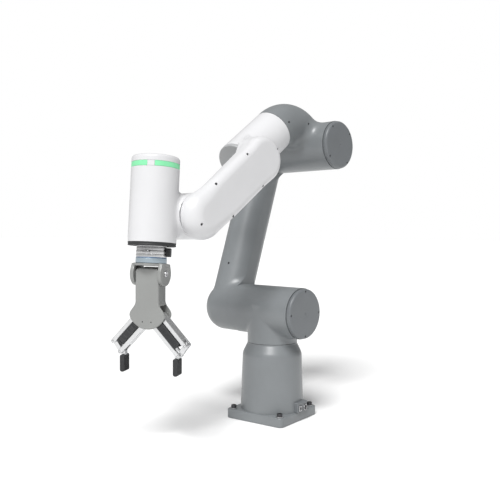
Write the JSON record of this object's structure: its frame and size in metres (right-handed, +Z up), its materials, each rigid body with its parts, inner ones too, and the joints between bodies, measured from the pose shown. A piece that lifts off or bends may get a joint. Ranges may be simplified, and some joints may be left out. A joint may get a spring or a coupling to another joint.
{
  "type": "collaborative robot arm",
  "caption": "Six-axis collaborative robot arm with grey lower links, white forearm and wrist, a light ring, and a two-finger parallel gripper on a tilting bracket.",
  "frame": {"origin": "centre of the base mounting face, on axis 1", "axes": "+Z up along axis 1; +X the way the arm reaches at zero angle; +Y the side of the shoulder and elbow end caps and of the connector block"},
  "size_m": [0.6527, 0.3276, 0.7872],
  "materials": {
    "graphite": "satin",
    "white": "satin",
    "cap_grey": "satin",
    "black_rubber": "matte",
    "dark_plastic": "matte",
    "steel": "satin",
    "aluminium": "satin",
    "light_grey": "satin",
    "motor_copper": "satin",
    "light_green": "gloss"
  },
  "bodies": {
    "base": {"base_housing": "graphite", "base_floor": "dark_plastic", "connector_block": "graphite", "base_power_inlet": "steel", "base_data_port": "dark_plastic", "base_bolt_1": "steel", "base_bolt_2": "steel", "base_bolt_3": "steel", "base_bolt_4": "steel", "joint_1_motor": "motor_copper"},
    "shoulder": {"shoulder_housing": "graphite", "shoulder_cap": "graphite", "joint_1_gear": "steel", "joint_2_motor": "motor_copper"},
    "lower_arm": {"lower_arm_housing": "graphite", "joint_2_gear": "steel", "joint_3_gear": "steel"},
    "elbow": {"elbow_housing": "graphite", "elbow_cap": "graphite", "joint_3_motor": "motor_copper", "joint_4_gear": "steel"},
    "forearm": {"forearm_housing": "white", "forearm_side_cover": "white", "forearm_end_cap": "cap_grey", "joint_4_motor": "motor_copper", "joint_5_gear": "steel"},
    "wrist": {"wrist_housing": "white", "wrist_top_cap": "white", "wrist_rear_cap": "white", "light_ring": "light_green", "wrist_seal_ring": "black_rubber", "joint_5_motor": "motor_copper", "joint_6_motor": "motor_copper"},
    "tool": {"tool_flange": "steel", "changer_robot_side": "aluminium", "changer_tool_side": "light_grey", "changer_lever": "steel", "changer_connector": "dark_plastic", "gripper_bracket": "light_grey", "tilt_screw_left": "steel", "tilt_screw_right": "steel", "joint_6_gear": "steel"},
    "gripper": {"gripper_housing": "light_grey", "gripper_back_cover": "light_grey", "gripper_motor": "motor_copper", "gripper_gear_case": "steel", "inner_pin_left": "steel", "inner_pin_right": "steel", "outer_pin_left": "steel", "outer_pin_right": "steel"},
    "inner_link_left": {"inner_link_left": "aluminium", "link_cover_left": "dark_plastic"},
    "outer_link_left": {"outer_link_left": "aluminium"},
    "fingertip_left": {"tip_bracket_left": "aluminium", "fingertip_pad_left": "black_rubber"},
    "inner_link_right": {"inner_link_right": "aluminium", "link_cover_right": "dark_plastic"},
    "outer_link_right": {"outer_link_right": "aluminium"},
    "fingertip_right": {"tip_bracket_right": "aluminium", "fingertip_pad_right": "black_rubber"}
  },
  "joints": [
    {"name": "axis_1", "type": "hinge", "parent": "base", "child": "shoulder", "pos_m": [0, 0, 0.188], "axis": [0, 0, 1], "range_deg": [-173.43, 186.57]},
    {"name": "axis_2", "type": "hinge", "parent": "shoulder", "child": "lower_arm", "pos_m": [0, 0, 0.265], "axis": [0.1144, 0.9934, 0], "range_deg": [-110, 60]},
    {"name": "axis_3", "type": "hinge", "parent": "lower_arm", "child": "elbow", "pos_m": [-0.14105, 0.01625, 0.68568], "axis": [0.1144, 0.9934, 0], "range_deg": [-220, 10]},
    {"name": "axis_4", "type": "hinge", "parent": "elbow", "child": "forearm", "pos_m": [-0.07596, 0.00875, 0.77404], "axis": [0.798, -0.0919, -0.5957], "range_deg": [-181.3, 178.7]},
    {"name": "axis_5", "type": "hinge", "parent": "forearm", "child": "wrist", "pos_m": [0.29908, -0.03445, 0.49408], "axis": [0.1278, 0.9916, 0.0182], "range_deg": [-115, 40]},
    {"name": "axis_6", "type": "hinge", "parent": "wrist", "child": "tool", "pos_m": [0.3782, -0.04475, 0.49994], "axis": [0.075, 0.0087, -0.9971], "range_deg": [-245, 295]},
    {"name": "gripper_tilt", "type": "hinge", "parent": "tool", "child": "gripper", "pos_m": [0.38765, -0.04366, 0.3743], "axis": [-0.3021, 0.9532, -0.0145], "range_deg": [-24, 14]},
    {"name": "finger_right_inner", "type": "hinge", "parent": "gripper", "child": "inner_link_right", "pos_m": [0.38208, -0.03674, 0.26872], "axis": [0.953, 0.3016, -0.0305], "range_deg": [-38, 4]},
    {"name": "finger_right_outer", "type": "hinge", "parent": "gripper", "child": "outer_link_right", "pos_m": [0.37778, -0.021, 0.28998], "axis": [0.953, 0.3016, -0.0305], "range_deg": [-38, 4]},
    {"name": "finger_right_tip", "type": "hinge", "parent": "inner_link_right", "child": "fingertip_right", "pos_m": [0.36348, 0.01581, 0.20723], "axis": [0.953, 0.3016, -0.0305], "range_deg": [-4, 38]},
    {"name": "finger_left_inner", "type": "hinge", "parent": "gripper", "child": "inner_link_left", "pos_m": [0.388, -0.05543, 0.269], "axis": [-0.953, -0.3016, 0.0305], "range_deg": [-38, 4]},
    {"name": "finger_left_outer", "type": "hinge", "parent": "gripper", "child": "outer_link_left", "pos_m": [0.39337, -0.07018, 0.29072], "axis": [-0.953, -0.3016, 0.0305], "range_deg": [-38, 4]},
    {"name": "finger_left_tip", "type": "hinge", "parent": "inner_link_left", "child": "fingertip_left", "pos_m": [0.4036, -0.11078, 0.20915], "axis": [-0.953, -0.3016, 0.0305], "range_deg": [-4, 38]}
  ],
  "couplings": [
    {"joint": "finger_left_inner", "follows": "finger_right_inner", "ratio": 1},
    {"joint": "finger_right_outer", "follows": "finger_right_inner", "ratio": 1},
    {"joint": "finger_left_outer", "follows": "finger_right_inner", "ratio": 1},
    {"joint": "finger_right_tip", "follows": "finger_right_inner", "ratio": -1},
    {"joint": "finger_left_tip", "follows": "finger_right_inner", "ratio": -1}
  ]
}
